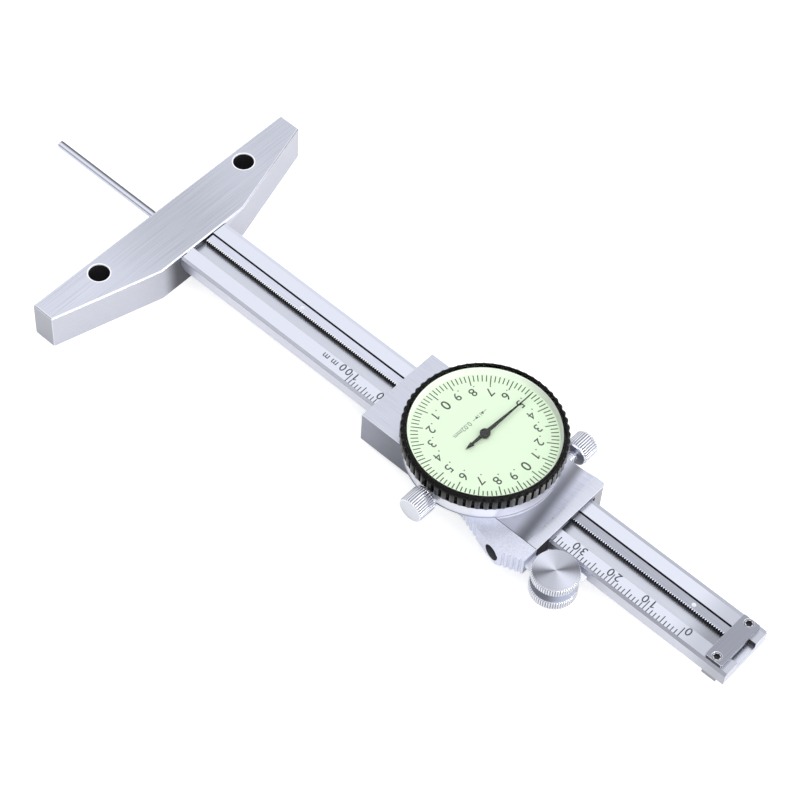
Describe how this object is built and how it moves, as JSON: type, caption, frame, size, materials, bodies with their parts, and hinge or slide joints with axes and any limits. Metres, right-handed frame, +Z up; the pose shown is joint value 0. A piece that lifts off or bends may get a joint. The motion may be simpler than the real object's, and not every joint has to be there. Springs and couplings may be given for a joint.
{
  "type": "dial depth gauge",
  "caption": "Slide-type depth gauge with a geared dial on the slider, a cross-bar base, a thin depth rod and a scale on the beam.",
  "frame": {"origin": "centre of the measuring face, on the axis of the depth rod", "axes": "+X along the beam from the measuring face to the free end, +Z up through the dial, -Y towards the edge with the scale and the thumb roller"},
  "size_m": [0.2188, 0.0852, 0.0199],
  "materials": {
    "satin_steel": "fine satin ground stainless steel",
    "bright_steel": "bright turned and knurled steel",
    "dark_steel": "plain grey steel",
    "black_bezel": "black finish, fluted rim",
    "clear_crystal": "clear crystal",
    "dial_paint": "pale green matt dial",
    "needle_paint": "dark needle",
    "brass": "turned brass",
    "pinion_steel": "hardened steel"
  },
  "bodies": {
    "frame": {"base": "satin_steel", "base_screws": "dark_steel", "beam": "satin_steel", "rack": "dark_steel", "rack_pins": "bright_steel", "end_stop": "dark_steel", "end_stop_screws": "dark_steel", "back_stop": "dark_steel", "back_stop_screws": "dark_steel"},
    "slider": {"slider_body": "satin_steel", "dial_housing": "bright_steel", "housing_screws": "dark_steel", "gib_strip": "satin_steel", "gib_screws": "dark_steel", "depth_rod": "bright_steel", "rod_clamp": "bright_steel", "rod_clamp_screws": "dark_steel", "back_cover": "satin_steel", "cover_screws": "dark_steel", "thumb_rest": "satin_steel", "thumb_rest_screw": "dark_steel", "roller_bracket": "bright_steel", "bracket_screw": "dark_steel", "rack_pinion_bush": "brass", "movement_bridge": "brass", "bridge_pillars": "brass", "bridge_screws": "dark_steel", "hairspring": "dark_steel", "spring_stud": "dark_steel"},
    "bezel": {"bezel": "black_bezel", "crystal": "clear_crystal", "dial_plate": "dial_paint"},
    "needle": {"needle": "needle_paint", "centre_pinion": "pinion_steel"},
    "drive_wheel": {"rack_pinion": "pinion_steel", "drive_wheel": "brass"},
    "sprung_wheel": {"sprung_wheel": "brass", "sprung_arbor": "pinion_steel"},
    "thumb_roller": {"roller_axle": "bright_steel", "upper_roller": "bright_steel", "lower_roller": "bright_steel"},
    "bezel_lock": {"bezel_lock_screw": "bright_steel"},
    "slide_lock": {"slide_lock_screw": "bright_steel"}
  },
  "joints": [
    {"name": "depth_slide", "type": "slide", "parent": "frame", "child": "slider", "axis": [1, 0, 0], "range_m": [-0.06351, 0.03649]},
    {"name": "bezel_turn", "type": "hinge", "parent": "slider", "child": "bezel", "pos_m": [0.10516, 0, 0.012], "axis": [0, 0, 1], "continuous": true},
    {"name": "needle_turn", "type": "hinge", "parent": "slider", "child": "needle", "pos_m": [0.10516, 0, 0.012], "axis": [0, 0, 1], "range_deg": [-6570, 11433]},
    {"name": "drive_wheel_turn", "type": "hinge", "parent": "slider", "child": "drive_wheel", "pos_m": [0.09657, -0.00088, 0.0085], "axis": [0, 0, 1], "range_deg": [-2288, 1315]},
    {"name": "sprung_wheel_turn", "type": "hinge", "parent": "slider", "child": "sprung_wheel", "pos_m": [0.1138, 0, 0.0085], "axis": [0, 0, 1], "range_deg": [-2288, 1315]},
    {"name": "roller_turn", "type": "hinge", "parent": "slider", "child": "thumb_roller", "pos_m": [0.13851, -0.01345, 0.003], "axis": [0, 0, 1], "range_deg": [-640, 368]},
    {"name": "bezel_lock_turn", "type": "hinge", "parent": "slider", "child": "bezel_lock", "pos_m": [0.10516, -0.02, 0.0085], "axis": [0, -1, 0], "range_deg": [0, 360]},
    {"name": "slide_lock_turn", "type": "hinge", "parent": "slider", "child": "slide_lock", "pos_m": [0.12001, 0.018, 0.0031], "axis": [0, 1, 0], "range_deg": [0, 360]}
  ],
  "couplings": [
    {"joint": "needle_turn", "follows": "depth_slide", "rad_per_m": -3141.6},
    {"joint": "drive_wheel_turn", "follows": "depth_slide", "rad_per_m": 628.32},
    {"joint": "sprung_wheel_turn", "follows": "depth_slide", "rad_per_m": 628.32},
    {"joint": "roller_turn", "follows": "depth_slide", "rad_per_m": 175.44}
  ]
}
